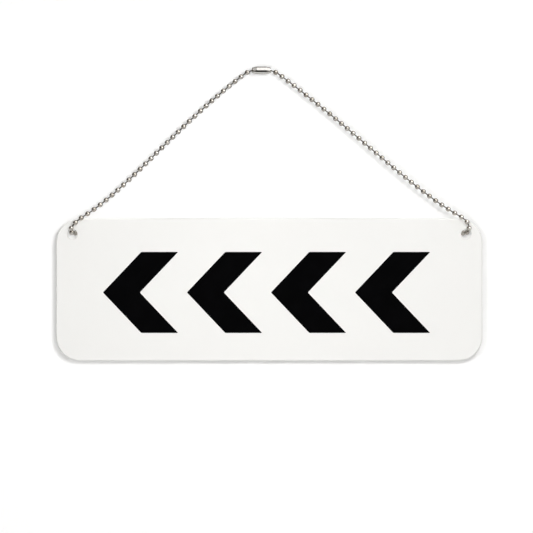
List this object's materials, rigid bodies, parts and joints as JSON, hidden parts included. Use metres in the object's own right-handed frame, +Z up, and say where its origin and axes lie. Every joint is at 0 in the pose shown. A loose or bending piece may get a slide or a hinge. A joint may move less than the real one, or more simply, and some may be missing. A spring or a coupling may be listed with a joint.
{
  "type": "hanging notice plate",
  "caption": "Plastic notice plate that hangs from a closed loop of ball chain, which passes through holes in its top corners and is joined by a barrel connector.",
  "frame": {"origin": "the point where a hook or nail bears on the chain, on the middle line of the plate's width and thickness, at the underside of the barrel connector", "axes": "+X along the plate's long side, to the right as seen from the printed front; +Y through the plate, away from the viewer, so the front faces -Y; +Z up"},
  "size_m": [0.3, 0.0177, 0.207],
  "materials": {
    "plate_plastic": "warm white, smooth with a soft sheen; the printed side has large dark arrow shapes",
    "bead_metal": "nickel-plated sheet metal beads, bright",
    "pin_metal": "drawn wire pins, duller than the beads",
    "print_ink": "dark ink of the printed arrow shapes, a thin film on the plate's front face; only the added print uses it",
    "connector_metal": "nickel-plated rolled sheet with an open slit"
  },
  "bodies": {
    "chain": {"left_run_beads": "bead_metal", "left_run_pins": "pin_metal", "left_end_bead": "bead_metal", "left_end_pin": "pin_metal", "left_hole_pin": "pin_metal", "right_run_beads": "bead_metal", "right_run_pins": "pin_metal", "right_end_bead": "bead_metal", "right_end_pin": "pin_metal", "right_hole_pin": "pin_metal"},
    "hole_beads": {"left_hole_bead": "bead_metal", "right_hole_bead": "bead_metal"},
    "plate": {"plate": "plate_plastic", "back_run_beads": "bead_metal", "back_run_pins": "pin_metal"},
    "connector": {"connector": "connector_metal"}
  },
  "joints": [
    {"name": "link_swing", "type": "hinge", "parent": "chain", "child": "hole_beads", "pos_m": [0, -0.00148, -0.11084], "axis": [-1, 0, 0], "range_deg": [0, 40]},
    {"name": "plate_swing", "type": "hinge", "parent": "hole_beads", "child": "plate", "pos_m": [0, 0.00148, -0.11176], "axis": [-1, 0, 0], "range_deg": [0, 40]},
    {"name": "connector_spin", "type": "hinge", "parent": "chain", "child": "connector", "pos_m": [-0.0055, 0, 0.0027], "axis": [1, 0, 0], "continuous": true}
  ],
  "couplings": [
    {"joint": "link_swing", "follows": "plate_swing", "ratio": 1}
  ]
}
